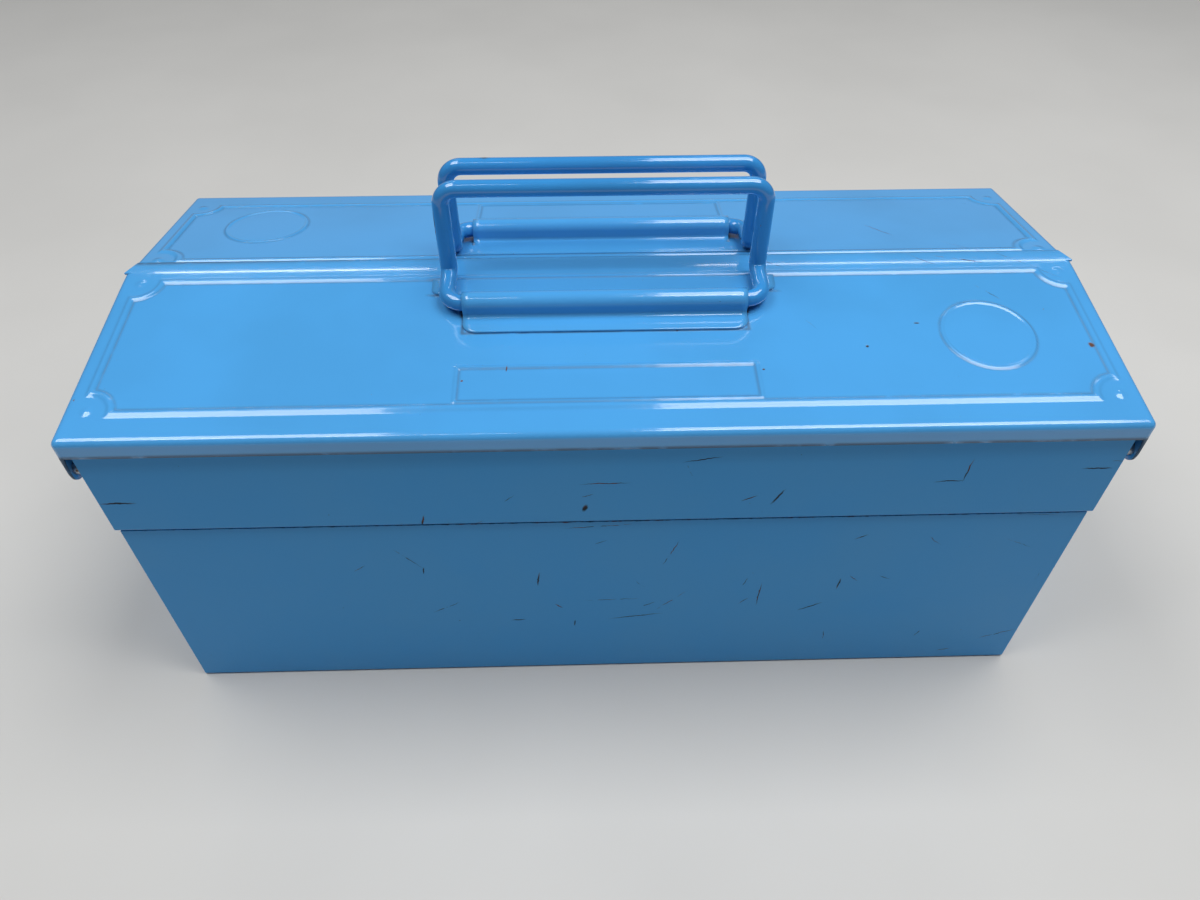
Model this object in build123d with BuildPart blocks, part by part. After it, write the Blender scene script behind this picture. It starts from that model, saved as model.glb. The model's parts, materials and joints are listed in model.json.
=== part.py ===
from build123d import *
import math
import os

os.makedirs("parts", exist_ok=True)

# Two-tier sheet-steel toolbox. A low base carries two trays side by side. Each tray has its own
# lid and swings out and clear of the base on parallel arms at both ends, while a link turns the lid
# open. X runs along the box, -Y is the front, Z is up, and the origin is under the middle of the base.
# In a half's own view "out" is measured from the middle of the box towards that half's long side.

# Base
base_length = 350.0
base_depth = 153.0
base_height = 97.2
sheet = 0.8
bend_radius = 1.6
hem_height = 6.0
hem_reveal = 0.2
lap_depth = 10.0

# Trays
tray_overhang = 1.0
tray_lift = 0.7
tray_height = 41.7
centre_gap = 1.5

# Lids
lid_overhang = 1.5
lid_rim_gap = 3.7
lid_skirt = 7.0
lid_rise = 11.0
ridge_shift = 1.9
seam_shift = 8.5
seam_gap = 0.4
seam_fold = 5.0
seam_bevel = 3.0

# Arms, links and their rivets
arm_sheet = 1.4
arm_width = 11.0
arm_stop_gap = 0.3
arm_gap = 0.35
link_sheet = 1.0
link_width = 6.0
link_gap = 0.25
skirt_gap = 0.2
closed_angle = 50.0
open_angle = 55.0
open_clearance = 5.0
inner_pivot_inset = 6.45
tray_pivot_rise = 14.0
arm_rivet_radius = 2.5
arm_head_radius = 3.2
arm_head_height = 0.8
tail_radius = 4.0
tail_height = 1.0
crank_length = 11.5
crank_width = 6.8
crank_trim = 4.3
link_rivet_radius = 1.75
link_head_radius = 3.0
hinge_inset = 4.6
hinge_drop = 12.1
hinge_rivet_radius = 2.0
hinge_collar_radius = 3.1
hinge_head_radius = 4.0
hinge_tail_radius = 3.0
hinge_head_height = 1.0
ear_radius = 5.1
ear_reach = 8.0
running_clearance = 0.05
face_clearance = 0.1

# Handles and their clips
rod_radius = 3.0
handle_width = 114.0
handle_foot = 17.0
handle_rise = 33.0
corner_radius = 6.0
kink_radius = 4.5
front_handle_out = 21.4
rear_handle_out = 29.5
clip_sheet = 0.8
clip_inner_reach = 16.5
clip_outer_reach = 11.5
clip_wing_start = 8.3
clip_wing_width = 127.0
clip_corner = 4.5
foot_clearance = 0.3
rod_clearance = 0.1

# Levels and faces that follow from the sizes above
base_half = base_depth / 2
tray_bottom = base_height + tray_lift
tray_top = tray_bottom + tray_height
tray_inner = centre_gap / 2
tray_outer = base_half + tray_overhang
tray_end_x = base_length / 2 + tray_overhang
lid_outer = tray_outer + lid_overhang
lid_bend_z = tray_top + lid_rim_gap
lid_edge_z = lid_bend_z - lid_skirt
ridge_z = lid_bend_z + lid_rise
arm_x = tray_end_x + arm_gap
link_x = arm_x + arm_sheet + link_gap
skirt_x = link_x + link_sheet + skirt_gap
lid_end_x = skirt_x + sheet

# Swing linkage, in a half's own view, closed
lean = math.radians(closed_angle)
reach = math.radians(open_angle)
swing_travel = base_half - tray_inner + open_clearance
arm_length = swing_travel / (math.sin(lean) + math.sin(reach))
pivot_pitch = (arm_width + arm_stop_gap) / math.cos(reach)
plain_tray_pivot = (tray_inner + inner_pivot_inset, tray_bottom + tray_pivot_rise)
plain_base_pivot = (
    plain_tray_pivot[0] + arm_length * math.sin(lean),
    plain_tray_pivot[1] - arm_length * math.cos(lean),
)
crank_tray_pivot = (plain_tray_pivot[0] + pivot_pitch, plain_tray_pivot[1])
crank_base_pivot = (plain_base_pivot[0] + pivot_pitch, plain_base_pivot[1])
hinge = (tray_outer - hinge_inset, tray_top - hinge_drop)

# The crank and the lid's ear point the same way, so the link stays parallel to the tray's own line
# from the crank pivot to the hinge, and the lid turns exactly as far as the arms do.
link_slope = math.atan2(hinge[1] - crank_tray_pivot[1], hinge[0] - crank_tray_pivot[0])
crank_angle = link_slope + math.pi / 2 + (lean + reach) / 2 - math.radians(crank_trim)
crank_offset = (crank_length * math.cos(crank_angle), crank_length * math.sin(crank_angle))
crank_pin = (crank_tray_pivot[0] + crank_offset[0], crank_tray_pivot[1] + crank_offset[1])
ear_pin = (hinge[0] + crank_offset[0], hinge[1] + crank_offset[1])

# Lid slopes and the line where the handle rod lies
lid_pitch = math.atan2(lid_rise, lid_outer + ridge_shift)
seam_out = seam_shift + seam_gap
rod_height = rod_radius + clip_sheet + foot_clearance
arch_radius = rod_radius + rod_clearance
clip_length = handle_width - 2 * corner_radius

HALVES = (("front", -1, front_handle_out), ("rear", 1, rear_handle_out))
ENDS = (("left", -1), ("right", 1))


def half_plane(out, x=0):
    """Upright plane across the box: local X runs outwards on that half and local Y is up."""
    return Plane(origin=(x, 0, 0), x_dir=(0, out, 0), z_dir=(out, 0, 0))


def slope_point(handle_out):
    """Height of the lid's outer skin at a distance out from the middle."""
    return lid_bend_z + (lid_outer - handle_out) * math.tan(lid_pitch)


def slope_top(out, handle_out):
    """Plane on the lid's slope under the rod: local Y runs up the slope, towards the middle."""
    origin = (0, out * handle_out, slope_point(handle_out))
    normal = (0, out * math.sin(lid_pitch), math.cos(lid_pitch))
    return Plane(origin=origin, x_dir=(-out, 0, 0), z_dir=normal)


def slope_section(out, handle_out):
    """Upright plane at the rod: local X runs up the slope and local Y away from the skin."""
    origin = (0, out * handle_out, slope_point(handle_out))
    inward = (0, -out * math.cos(lid_pitch), math.sin(lid_pitch))
    return Plane(origin=origin, x_dir=inward, z_dir=(-out, 0, 0))


def end_plane(out, side, x, point):
    """Plane facing out of one end of the box, with its origin at a pivot."""
    return Plane(origin=(side * x, out * point[0], point[1]), x_dir=(0, side, 0), z_dir=(side, 0, 0))


def turned(outline, head_base, head_radius, head_height):
    """Solid of revolution about Z: an outline of corners that ends in a head, a cap of a sphere."""
    dome_radius = (head_radius**2 + head_height**2) / (2 * head_height)
    dome_angle = math.degrees(math.asin(head_radius / dome_radius))
    dome_top = head_base + head_height
    with BuildPart() as piece:
        with BuildSketch(Plane.XZ):
            with BuildLine():
                Polyline((0, dome_top), *outline, (head_radius, head_base))
                CenterArc((0, dome_top - dome_radius), dome_radius, 90 - dome_angle, dome_angle)
            make_face()
        revolve(axis=Axis.Z)
    return piece.part


def rivet(radius, grip, head_radius, head_height, foot_radius=0.0, foot_height=0.0):
    """Round rivet along Z: a flat tail below zero, or a flush one, and a domed head above the grip."""
    foot = [(0, -foot_height), (foot_radius, -foot_height), (foot_radius, 0)] if foot_height else [(0, 0)]
    return turned([*foot, (radius, 0), (radius, grip)], grip, head_radius, head_height)


def shouldered_rivet(radius, collar_radius, collar, grip):
    """Hinge rivet along Z: flat tail, a thick collar over the arm and link layers, then the head."""
    outline = [
        (0, -tail_height),
        (hinge_tail_radius, -tail_height),
        (hinge_tail_radius, 0),
        (radius, 0),
        (radius, sheet),
        (collar_radius, sheet),
        (collar_radius, sheet + collar),
        (radius, sheet + collar),
        (radius, sheet + collar + grip),
    ]
    return turned(outline, sheet + collar + grip, hinge_head_radius, hinge_head_height)


def bar_between(start, end, width):
    """Round-ended strip from one point to the other, in the sketch that is open."""
    span = (end[0] - start[0], end[1] - start[1])
    middle = ((start[0] + end[0]) / 2, (start[1] + end[1]) / 2)
    with Locations(middle):
        SlotCenterToCenter(math.hypot(*span), width, rotation=math.degrees(math.atan2(span[1], span[0])))


# Base pan: floor and long walls in one bent sheet, with the rims folded inwards
with BuildPart() as base_pan:
    with BuildSketch(Plane.YZ) as channel:
        Rectangle(base_depth, base_height, align=(Align.CENTER, Align.MIN))
        fillet(channel.vertices().group_by(Axis.Y)[0], bend_radius)
        with BuildSketch(mode=Mode.SUBTRACT) as inside:
            with Locations((0, sheet)):
                Rectangle(base_depth - 2 * sheet, base_height, align=(Align.CENTER, Align.MIN))
            fillet(inside.vertices().group_by(Axis.Y)[0], bend_radius - sheet)
    extrude(amount=base_length / 2, both=True)
    with BuildSketch(Plane.YZ):
        for wall in (-1, 1):
            with Locations((wall * (base_half - 1.5 * sheet), base_height - hem_height / 2)):
                Rectangle(sheet, hem_height)
    extrude(amount=base_length / 2 - lap_depth - hem_reveal, both=True)
base_pan.part.label = "base_pan"
export_step(base_pan.part, "parts/base_pan.step")

# Base ends: plates between the long walls, with laps welded to the pan and a folded rim
for end, side in ENDS:
    outer_face = half_plane(side, side * base_length / 2)
    inner_width = base_depth - 2 * sheet
    with BuildPart() as base_end:
        with BuildSketch(outer_face) as end_shape:
            with Locations((0, sheet)):
                Rectangle(inner_width, base_height - sheet, align=(Align.CENTER, Align.MIN))
            fillet(end_shape.vertices().group_by(Axis.Y)[0], bend_radius - sheet)
        extrude(amount=-lap_depth)
        with BuildSketch(outer_face.offset(-sheet)):
            with Locations((0, 2 * sheet)):
                Rectangle(inner_width - 2 * sheet, base_height, align=(Align.CENTER, Align.MIN))
            with Locations((0, base_height - hem_height - hem_reveal)):
                Rectangle(inner_width, base_height, align=(Align.CENTER, Align.MIN))
        extrude(amount=-lap_depth, mode=Mode.SUBTRACT)
        with BuildSketch(outer_face.offset(-sheet)):
            with Locations((0, base_height - hem_height / 2)):
                Rectangle(inner_width - 2 * hem_reveal, hem_height)
        extrude(amount=-sheet)
        with BuildSketch(outer_face):
            for pivot in (plain_base_pivot, crank_base_pivot):
                with Locations((-pivot[0], pivot[1]), pivot):
                    Circle(arm_rivet_radius)
        extrude(amount=-sheet, mode=Mode.SUBTRACT)
    base_end.part.label = f"base_end_{end}"
    export_step(base_end.part, f"parts/base_end_{end}.step")

# Base rivets and the spacers that hold the arms out to the trays' width
base_grip = sheet + tray_overhang + arm_gap + arm_sheet + face_clearance
base_rivet = rivet(
    arm_rivet_radius, base_grip, arm_head_radius, arm_head_height, tail_radius, tail_height
)
with BuildPart() as base_rivets:
    for side in (-1, 1):
        for out in (-1, 1):
            for pivot in (plain_base_pivot, crank_base_pivot):
                with Locations(end_plane(out, side, base_length / 2 - sheet, pivot)):
                    add(base_rivet)
base_rivets.part.label = "base_rivets"
export_step(base_rivets.part, "parts/base_rivets.step")

with BuildPart() as base_spacers:
    for side in (-1, 1):
        with BuildSketch(half_plane(side, side * base_length / 2)):
            for pivot in (plain_base_pivot, crank_base_pivot):
                with Locations((-pivot[0], pivot[1]), pivot):
                    Circle(arm_width / 2)
                    Circle(arm_rivet_radius, mode=Mode.SUBTRACT)
        extrude(amount=tray_overhang + arm_gap - face_clearance)
base_spacers.part.label = "base_spacers"
export_step(base_spacers.part, "parts/base_spacers.step")

tray_grip = sheet + arm_gap + arm_sheet + face_clearance
tray_rivet = rivet(
    arm_rivet_radius, tray_grip, arm_head_radius, arm_head_height, tail_radius, tail_height
)
collar_length = skirt_x - tray_end_x - face_clearance
hinge_rivet = shouldered_rivet(
    hinge_rivet_radius, hinge_collar_radius, collar_length, sheet + 2 * face_clearance
)
crank_rivet = rivet(
    link_rivet_radius,
    arm_sheet + link_gap + link_sheet + face_clearance,
    link_head_radius,
    arm_head_height,
)
link_rivet = rivet(
    link_rivet_radius,
    face_clearance + link_sheet + skirt_gap + sheet,
    link_head_radius,
    arm_head_height,
    link_head_radius,
    arm_head_height,
)

for half, out, handle_out in HALVES:
    # Arms: the crank arm also carries the pin that drives the lid's link
    for end, side in ENDS:
        arm_plane = half_plane(out, side * arm_x)
        with BuildPart() as crank_arm:
            with BuildSketch(arm_plane):
                bar_between(crank_base_pivot, crank_tray_pivot, arm_width)
                bar_between(crank_tray_pivot, crank_pin, crank_width)
                with Locations(crank_base_pivot, crank_tray_pivot):
                    Circle(arm_rivet_radius + running_clearance, mode=Mode.SUBTRACT)
                with Locations(crank_pin):
                    Circle(link_rivet_radius, mode=Mode.SUBTRACT)
            extrude(amount=side * out * arm_sheet)
        crank_arm.part.label = f"{half}_crank_arm_{end}"
        export_step(crank_arm.part, f"parts/{half}_crank_arm_{end}.step")

        with BuildPart() as plain_arm:
            with BuildSketch(arm_plane):
                bar_between(plain_base_pivot, plain_tray_pivot, arm_width)
                with Locations(plain_base_pivot, plain_tray_pivot):
                    Circle(arm_rivet_radius + running_clearance, mode=Mode.SUBTRACT)
            extrude(amount=side * out * arm_sheet)
        plain_arm.part.label = f"{half}_plain_arm_{end}"
        export_step(plain_arm.part, f"parts/{half}_plain_arm_{end}.step")

        with BuildPart() as lid_link:
            with BuildSketch(half_plane(out, side * link_x)):
                bar_between(crank_pin, ear_pin, link_width)
                with Locations(crank_pin, ear_pin):
                    Circle(link_rivet_radius + running_clearance, mode=Mode.SUBTRACT)
            extrude(amount=side * out * link_sheet)
        lid_link.part.label = f"{half}_lid_link_{end}"
        export_step(lid_link.part, f"parts/{half}_lid_link_{end}.step")

    with BuildPart() as crank_rivets:
        for side in (-1, 1):
            with Locations(end_plane(out, side, arm_x, crank_pin)):
                add(crank_rivet)
    crank_rivets.part.label = f"{half}_crank_rivets"
    export_step(crank_rivets.part, f"parts/{half}_crank_rivets.step")

    # Tray pan: floor and both long walls in one bent sheet with folded rims
    tray_width = tray_outer - tray_inner
    tray_middle = (tray_outer + tray_inner) / 2
    with BuildPart() as tray_pan:
        with BuildSketch(half_plane(out)) as tray_channel:
            with Locations((tray_middle, tray_bottom)):
                Rectangle(tray_width, tray_height, align=(Align.CENTER, Align.MIN))
            fillet(tray_channel.vertices().group_by(Axis.Y)[0], bend_radius)
            with BuildSketch(mode=Mode.SUBTRACT) as tray_inside:
                with Locations((tray_middle, tray_bottom + sheet)):
                    Rectangle(tray_width - 2 * sheet, tray_height, align=(Align.CENTER, Align.MIN))
                fillet(tray_inside.vertices().group_by(Axis.Y)[0], bend_radius - sheet)
        extrude(amount=tray_end_x, both=True)
        with BuildSketch(half_plane(out)):
            for wall in (-1, 1):
                wall_middle = tray_middle + wall * (tray_width / 2 - 1.5 * sheet)
                with Locations((wall_middle, tray_top - hem_height / 2)):
                    Rectangle(sheet, hem_height)
        extrude(amount=tray_end_x - lap_depth - hem_reveal, both=True)
    tray_pan.part.label = f"{half}_tray_pan"
    export_step(tray_pan.part, f"parts/{half}_tray_pan.step")

    # Tray ends: plates with laps welded inside the pan, drilled for the arms and the lid's hinge
    for end, side in ENDS:
        tray_face = half_plane(out, side * tray_end_x)
        inward = -side * out
        clear_width = tray_width - 2 * sheet
        with BuildPart() as tray_end:
            with BuildSketch(tray_face) as tray_end_shape:
                with Locations((tray_middle, tray_bottom + sheet)):
                    Rectangle(clear_width, tray_height - sheet, align=(Align.CENTER, Align.MIN))
                fillet(tray_end_shape.vertices().group_by(Axis.Y)[0], bend_radius - sheet)
            extrude(amount=inward * lap_depth)
            with BuildSketch(tray_face.offset(inward * sheet)):
                with Locations((tray_middle, tray_bottom + 2 * sheet)):
                    Rectangle(clear_width - 2 * sheet, tray_height, align=(Align.CENTER, Align.MIN))
                with Locations((tray_middle, tray_top - hem_height - hem_reveal)):
                    Rectangle(clear_width, tray_height, align=(Align.CENTER, Align.MIN))
            extrude(amount=inward * lap_depth, mode=Mode.SUBTRACT)
            with BuildSketch(tray_face.offset(inward * sheet)):
                with Locations((tray_middle, tray_top - hem_height / 2)):
                    Rectangle(clear_width - 2 * hem_reveal, hem_height)
            extrude(amount=inward * sheet)
            with BuildSketch(tray_face):
                with Locations(plain_tray_pivot, crank_tray_pivot):
                    Circle(arm_rivet_radius)
                with Locations(hinge):
                    Circle(hinge_rivet_radius)
            extrude(amount=inward * sheet, mode=Mode.SUBTRACT)
        tray_end.part.label = f"{half}_tray_end_{end}"
        export_step(tray_end.part, f"parts/{half}_tray_end_{end}.step")

    with BuildPart() as tray_rivets:
        for side in (-1, 1):
            for pivot in (plain_tray_pivot, crank_tray_pivot):
                with Locations(end_plane(out, side, tray_end_x - sheet, pivot)):
                    add(tray_rivet)
    tray_rivets.part.label = f"{half}_tray_rivets"
    export_step(tray_rivets.part, f"parts/{half}_tray_rivets.step")

    with BuildPart() as hinge_rivets:
        for side in (-1, 1):
            with Locations(end_plane(out, side, tray_end_x - sheet, hinge)):
                add(hinge_rivet)
    hinge_rivets.part.label = f"{half}_hinge_rivets"
    export_step(hinge_rivets.part, f"parts/{half}_hinge_rivets.step")

    # Lid: one sheet from the skirt over the slope to the seam, with an eared skirt at each end
    if half == "front":
        skin = [
            (lid_outer, lid_edge_z),
            (lid_outer, lid_bend_z),
            (-ridge_shift, ridge_z),
            (-seam_shift, ridge_z),
        ]
        centre_edge = -ridge_shift
    else:
        skin = [
            (lid_outer, lid_edge_z),
            (lid_outer, lid_bend_z),
            (seam_out, slope_point(seam_out)),
            (seam_out, slope_point(seam_out) - seam_fold),
        ]
        centre_edge = seam_out
    with BuildPart() as lid:
        with BuildSketch(half_plane(out)):
            with BuildLine():
                FilletPolyline(*skin, radius=bend_radius)
                offset(amount=sheet, side=Side.LEFT)
            make_face()
        extrude(amount=lid_end_x, both=True)
        for side in (-1, 1):
            with BuildSketch(half_plane(out, side * skirt_x)):
                with BuildLine():
                    Polyline(
                        (lid_outer - sheet / 2, lid_edge_z),
                        (lid_outer - sheet / 2, lid_bend_z - sheet),
                        (centre_edge, slope_point(centre_edge) - sheet / 2),
                        (centre_edge, lid_edge_z),
                        close=True,
                    )
                make_face()
                with BuildSketch():
                    with Locations(hinge):
                        Circle(ear_radius)
                    with Locations(ear_pin):
                        Circle(ear_radius - sheet)
                    ear_top = lid_edge_z + sheet
                    with Locations((ear_pin[0] - ear_reach, ear_top), (hinge[0] + ear_radius - sheet, ear_top)):
                        Circle(sheet)
                    make_hull()
                with Locations(hinge):
                    Circle(hinge_rivet_radius + running_clearance, mode=Mode.SUBTRACT)
                with Locations(ear_pin):
                    Circle(link_rivet_radius, mode=Mode.SUBTRACT)
            extrude(amount=side * out * sheet)
        if half == "front":
            for side in (-1, 1):
                with BuildSketch(Plane.XY.offset(ridge_z - 2 * sheet)):
                    with BuildLine():
                        Polyline(
                            (side * lid_end_x, ridge_shift),
                            (side * lid_end_x, seam_shift),
                            (side * (lid_end_x - seam_bevel), seam_shift),
                            close=True,
                        )
                    make_face()
                extrude(amount=3 * sheet, mode=Mode.SUBTRACT)
    lid.part.label = f"{half}_lid"
    export_step(lid.part, f"parts/{half}_lid.step")

    with BuildPart() as link_rivets:
        for side in (-1, 1):
            with Locations(end_plane(out, side, link_x - face_clearance, ear_pin)):
                add(link_rivet)
    link_rivets.part.label = f"{half}_link_rivets"
    export_step(link_rivets.part, f"parts/{half}_link_rivets.step")

    # Handle clip: a sheet welded to the lid, arched over the lower bar of the handle
    with BuildPart() as handle_clip:
        with BuildSketch(slope_top(out, handle_out)):
            with Locations((0, (clip_wing_start + clip_inner_reach) / 2)):
                RectangleRounded(clip_wing_width, clip_inner_reach - clip_wing_start, clip_sheet)
            with Locations((0, (clip_inner_reach - clip_outer_reach) / 2)):
                RectangleRounded(clip_length, clip_inner_reach + clip_outer_reach, clip_corner)
            with Locations((0, (clip_inner_reach + clip_wing_start) / 2)):
                Rectangle(clip_length, clip_inner_reach - clip_wing_start)
        extrude(amount=clip_sheet)
        with BuildSketch(slope_section(out, handle_out)):
            with Locations((0, rod_height)):
                Circle(arch_radius + clip_sheet)
            Rectangle(2 * (arch_radius + clip_sheet), rod_height, align=(Align.CENTER, Align.MIN))
        extrude(amount=clip_length / 2, both=True)
        with BuildSketch(slope_section(out, handle_out)):
            with Locations((0, rod_height)):
                Circle(arch_radius)
            Rectangle(2 * arch_radius, rod_height, align=(Align.CENTER, Align.MIN))
        extrude(amount=clip_length / 2, both=True, mode=Mode.SUBTRACT)
    handle_clip.part.label = f"{half}_handle_clip"
    export_step(handle_clip.part, f"parts/{half}_handle_clip.step")

    # Handle: a closed loop of round rod. Its feet lie up the slope and its grip stands upright.
    rod_line = slope_section(out, handle_out)
    bar = rod_line.from_local_coords((0, rod_height))
    foot_top = rod_line.from_local_coords((handle_foot, rod_height))
    half_width = handle_width / 2
    with BuildPart() as handle:
        with BuildLine() as rod_path:
            FilletPolyline(
                (0, bar.Y, bar.Z),
                (half_width, bar.Y, bar.Z),
                (half_width, foot_top.Y, foot_top.Z),
                (half_width, foot_top.Y, foot_top.Z + handle_rise),
                (0, foot_top.Y, foot_top.Z + handle_rise),
                radius=(corner_radius, kink_radius, corner_radius),
            )
        with BuildSketch(Plane(origin=(0, bar.Y, bar.Z), z_dir=(1, 0, 0))):
            Circle(rod_radius)
        sweep(path=rod_path.wires()[0])
        mirror(about=Plane.YZ)
    handle.part.label = f"{half}_handle"
    export_step(handle.part, f"parts/{half}_handle.step")
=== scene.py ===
import functools
import json
import math

import bpy
import numpy as np
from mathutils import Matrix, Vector


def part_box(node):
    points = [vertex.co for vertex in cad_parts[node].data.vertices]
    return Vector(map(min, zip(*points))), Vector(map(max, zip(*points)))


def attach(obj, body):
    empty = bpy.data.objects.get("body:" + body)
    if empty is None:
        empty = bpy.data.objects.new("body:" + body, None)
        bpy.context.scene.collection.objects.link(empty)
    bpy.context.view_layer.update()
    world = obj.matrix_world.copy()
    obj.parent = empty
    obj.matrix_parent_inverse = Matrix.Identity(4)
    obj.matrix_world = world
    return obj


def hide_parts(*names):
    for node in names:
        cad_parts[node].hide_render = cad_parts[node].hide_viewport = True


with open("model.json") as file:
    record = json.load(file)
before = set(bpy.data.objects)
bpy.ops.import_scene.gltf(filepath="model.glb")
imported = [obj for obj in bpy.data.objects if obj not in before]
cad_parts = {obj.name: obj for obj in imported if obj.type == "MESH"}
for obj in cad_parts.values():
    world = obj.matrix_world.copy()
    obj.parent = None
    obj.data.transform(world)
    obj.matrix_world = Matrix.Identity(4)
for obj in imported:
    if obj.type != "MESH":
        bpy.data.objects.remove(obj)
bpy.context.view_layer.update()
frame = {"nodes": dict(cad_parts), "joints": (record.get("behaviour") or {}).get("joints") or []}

bl_info = {
    "name": "Toolbox with tray",
    "version": (1, 0, 0),
    "blender": (4, 5, 0),
    "location": "3D View > Sidebar > Toolbox",
    "description": "Pressed lids, rod handles and chipped enamel for a two-tray cantilever toolbox",
    "category": "Object",
}

MM = 0.001
SENSOR = 36
FLOOR_HALF = 1.7
LAMP_Z = 1.45
HALVES = (("front", -1), ("rear", 1))
JOINTS = {joint["name"]: joint for joint in frame["joints"]}
NODES = frame["nodes"]

# The lids' outer faces, in metres, read from the frame
LID_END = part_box("front_lid")[1][0]
LID_OUTER = -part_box("front_lid")[0][1]
RIDGE_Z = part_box("front_lid")[1][2]
FRONT_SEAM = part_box("front_lid")[1][1]
REAR_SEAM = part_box("rear_lid")[0][1]


def length(name, description, millimetres):
    """A size property in metres with its default given in millimetres."""
    return bpy.props.FloatProperty(
        name=name, description=description, default=millimetres * MM, unit="LENGTH", precision=5
    )


def linear(code):
    """Linear RGB of an sRGB hex colour: the low part divided by 12.92, the rest a 2.4 power."""
    values = np.array([int(code[i : i + 2], 16) for i in (1, 3, 5)]) / 255
    return tuple(np.where(values <= 0.04045, values / 12.92, ((values + 0.055) / 1.055) ** 2.4))


def colour(name, description, code):
    """A colour property with its default given as an sRGB hex value."""
    return bpy.props.FloatVectorProperty(
        name=name, description=description, default=linear(code), subtype="COLOR", min=0, max=1
    )


class ToolboxLids(bpy.types.PropertyGroup):
    sheet: length("Sheet", "Thickness of the lid's steel", 0.8)
    bend: length("Bend radius", "Outer radius of the folded edges", 2.6)
    rise: length("Rise", "Height of the ridge above the outer bend", 11.0)
    skirt: length("Skirt", "Height of the skirt below the outer bend", 7.0)
    ridge_shift: length("Ridge shift", "How far behind the middle the front slope ends", 1.9)
    seam_fold: length("Seam fold", "Depth of the rear lid's fold at the seam", 5.0)
    ridge_softness: length("Ridge softness", "How widely the ridge is rounded", 0.35)
    flange_bevel: length("Flange bevel", "Cut at both ends of the ridge strip", 3.0)
    rib_side: length("Side rib", "Distance of the border rib's short sides from the middle", 173.0)
    rib_outer: length("Outer rib", "Distance of the border rib's long side from the middle", 66.8)
    rib_inner: length("Inner rib", "Distance of the inner long side from the seam strip", 3.6)
    rib_width: length("Rib width", "Half width of the border rib", 1.8)
    rib_height: length("Rib height", "Height of the border rib", 0.55)
    notch: length("Notch radius", "Radius of the rib's hollow corners", 9.0)
    boss: length("Boss radius", "Radius of the small boss outside each notch", 2.6)
    frame_half: length("Frame half length", "Half length of the plain label frame", 51.5)
    frame_inner: length("Frame inner edge", "Distance of the frame's upper edge from the middle", 49.0)
    frame_outer: length("Frame outer edge", "Distance of the frame's lower edge from the middle", 64.6)
    ring: length("Ring radius", "Radius of the plain pressed ring", 16.0)
    front_ring_side: length("Front ring side", "Distance of the front ring from the middle", 135.6)
    front_ring_out: length("Front ring out", "How far out the front ring lies", 37.0)
    rear_ring_side: length("Rear ring side", "Distance of the rear ring from the middle", 138.6)
    rear_ring_out: length("Rear ring out", "How far out the rear ring lies", 45.0)
    ear_pin: length("Ear at the pin", "Radius of the ear round the link's rivet", 4.3)
    ear_hinge: length("Ear at the hinge", "Radius of the ear round the hinge rivet", 5.1)
    fine_step: length("Fine step", "Grid step where the lid is pressed", 0.55)
    coarse_step: length("Coarse step", "Grid step where the lid is plain", 4.0)


class ToolboxClips(bpy.types.PropertyGroup):
    sheet: length("Sheet", "Thickness of the clip's steel", 0.8)
    arch: length("Arch radius", "Outer radius of the arch over the rod", 3.9)
    root: length("Root radius", "Hollow radius where the arch meets the flange", 1.3)
    arch_half: length("Arch half length", "Half length of the arch", 51.0)
    wing_half: length("Wing half length", "Half length of the wing on the ridge side", 63.5)
    wing_start: length("Wing start", "Where the wing begins, up the slope from the rod", 8.3)
    inner_reach: length("Inner reach", "Where the wing ends, up the slope from the rod", 16.5)
    outer_reach: length("Outer reach", "Where the flange ends, down the slope from the rod", 11.5)
    corner: length("Corner radius", "Radius of the flange's corners", 4.5)
    wing_round: length("Wing corner", "Radius of the wing's corners", 3.0)
    rod_gap: length("Rod gap", "Room between the rod and the lid", 0.3)


class ToolboxHandles(bpy.types.PropertyGroup):
    rod: length("Rod radius", "Radius of the round rod", 3.0)
    width: length("Width", "Distance between the two uprights", 114.0)
    foot: length("Foot", "Length of the feet that lie up the slope", 17.0)
    rise: length("Rise", "Height of the grip above the feet", 33.0)
    corner: length("Corner radius", "Radius of the rod's corners", 6.0)
    kink: length("Kink radius", "Radius of the sharp bend at each foot", 3.3)
    swell: bpy.props.FloatProperty(
        name="Swell", description="How much the rod widens at the kink", default=0.07, subtype="FACTOR"
    )


class ToolboxColours(bpy.types.PropertyGroup):
    enamel: colour("Enamel", "Light blue baked enamel", "#4CA2E3")
    enamel_worn: colour("Worn enamel", "The same enamel where it is dulled", "#499CDA")
    wall: colour("Wall enamel", "The enamel of the walls, dulled by use", "#449BDC")
    handle: colour("Handle enamel", "Enamel on the rods", "#3793DA")
    handle_worn: colour("Worn handle enamel", "Rod and arm enamel where it is dulled", "#3488C9")
    # also the colour of painted shade on the lids: clip outlines, under the clip arches, bead feet and
    # skirt edges
    grime_and_shade: colour("Grime", "Brown dirt that lies in corners and along edges", "#33302C")
    # with rust, also the colour of the painted shade marks on the walls and rods
    primer: colour("Chipped steel", "Dark steel and primer in a scratch", "#2A3038")
    rust: colour("Rust", "Brown rust in a chip", "#5E3A2A")
    zinc: colour("Zinc", "Dulled zinc on the rivets", "#A9ACAE")
    floor: colour("Floor", "Pale floor", "#D1D0CD")
    sky: colour("Sky", "Tint of the even light", "#DDE3EA")


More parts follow.
